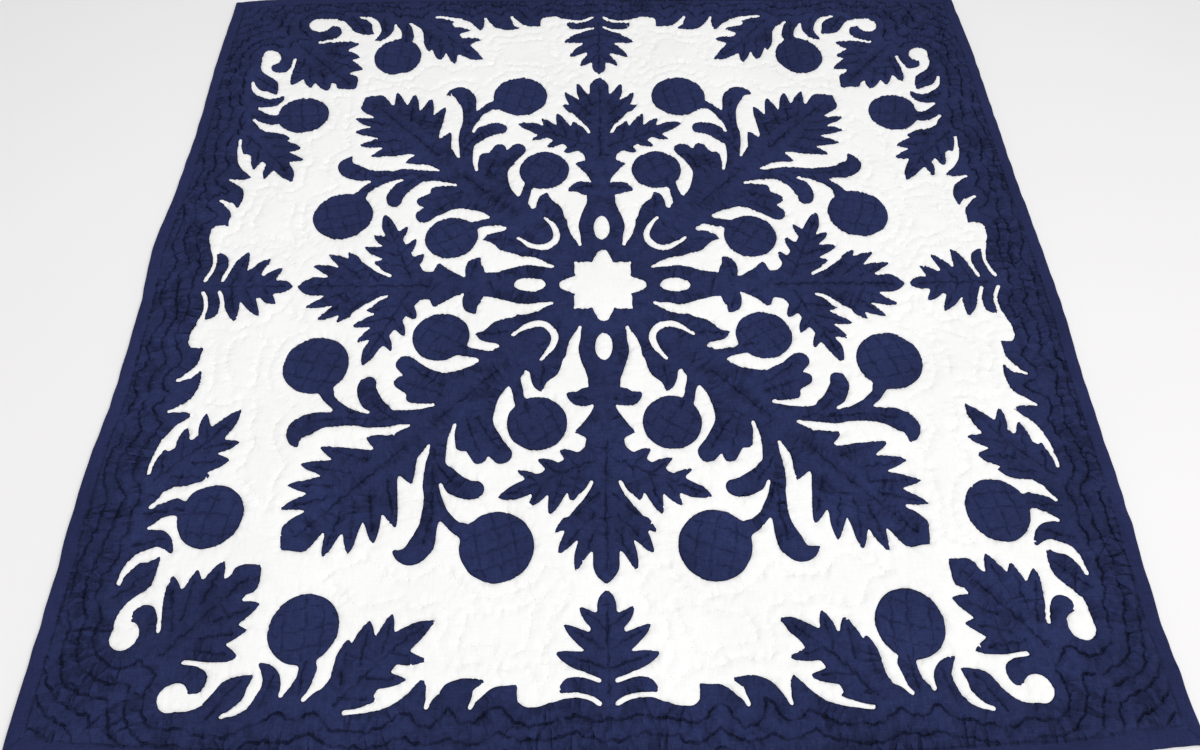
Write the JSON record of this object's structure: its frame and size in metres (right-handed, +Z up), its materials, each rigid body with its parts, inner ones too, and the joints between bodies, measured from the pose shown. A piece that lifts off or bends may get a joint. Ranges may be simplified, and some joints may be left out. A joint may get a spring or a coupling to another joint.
{
  "type": "tivaevae quilt",
  "caption": "Square padded cotton quilt lying flat, with a navy folded-cut breadfruit medallion and border sewn on white, echo quilted, with a bound edge.",
  "frame": {"origin": "on the surface that the quilt lies on, under the middle of its outline", "axes": "+Z up out of the quilt's face, +X to its right edge, +Y to its back edge"},
  "size_m": [1.0904, 1.0775, 0.0086],
  "materials": {
    "white_cotton": "matt plain-weave cotton, quilted over wadding",
    "navy_cotton": "matt plain-weave cotton, dyed navy",
    "white_thread": "glazed cotton quilting thread",
    "navy_thread": "glazed cotton quilting thread, dyed navy"
  },
  "bodies": {
    "root": {"quilt_body": "white_cotton", "binding_front": "navy_cotton", "binding_back": "navy_cotton", "binding_left": "navy_cotton", "binding_right": "navy_cotton"}
  },
  "joints": []
}
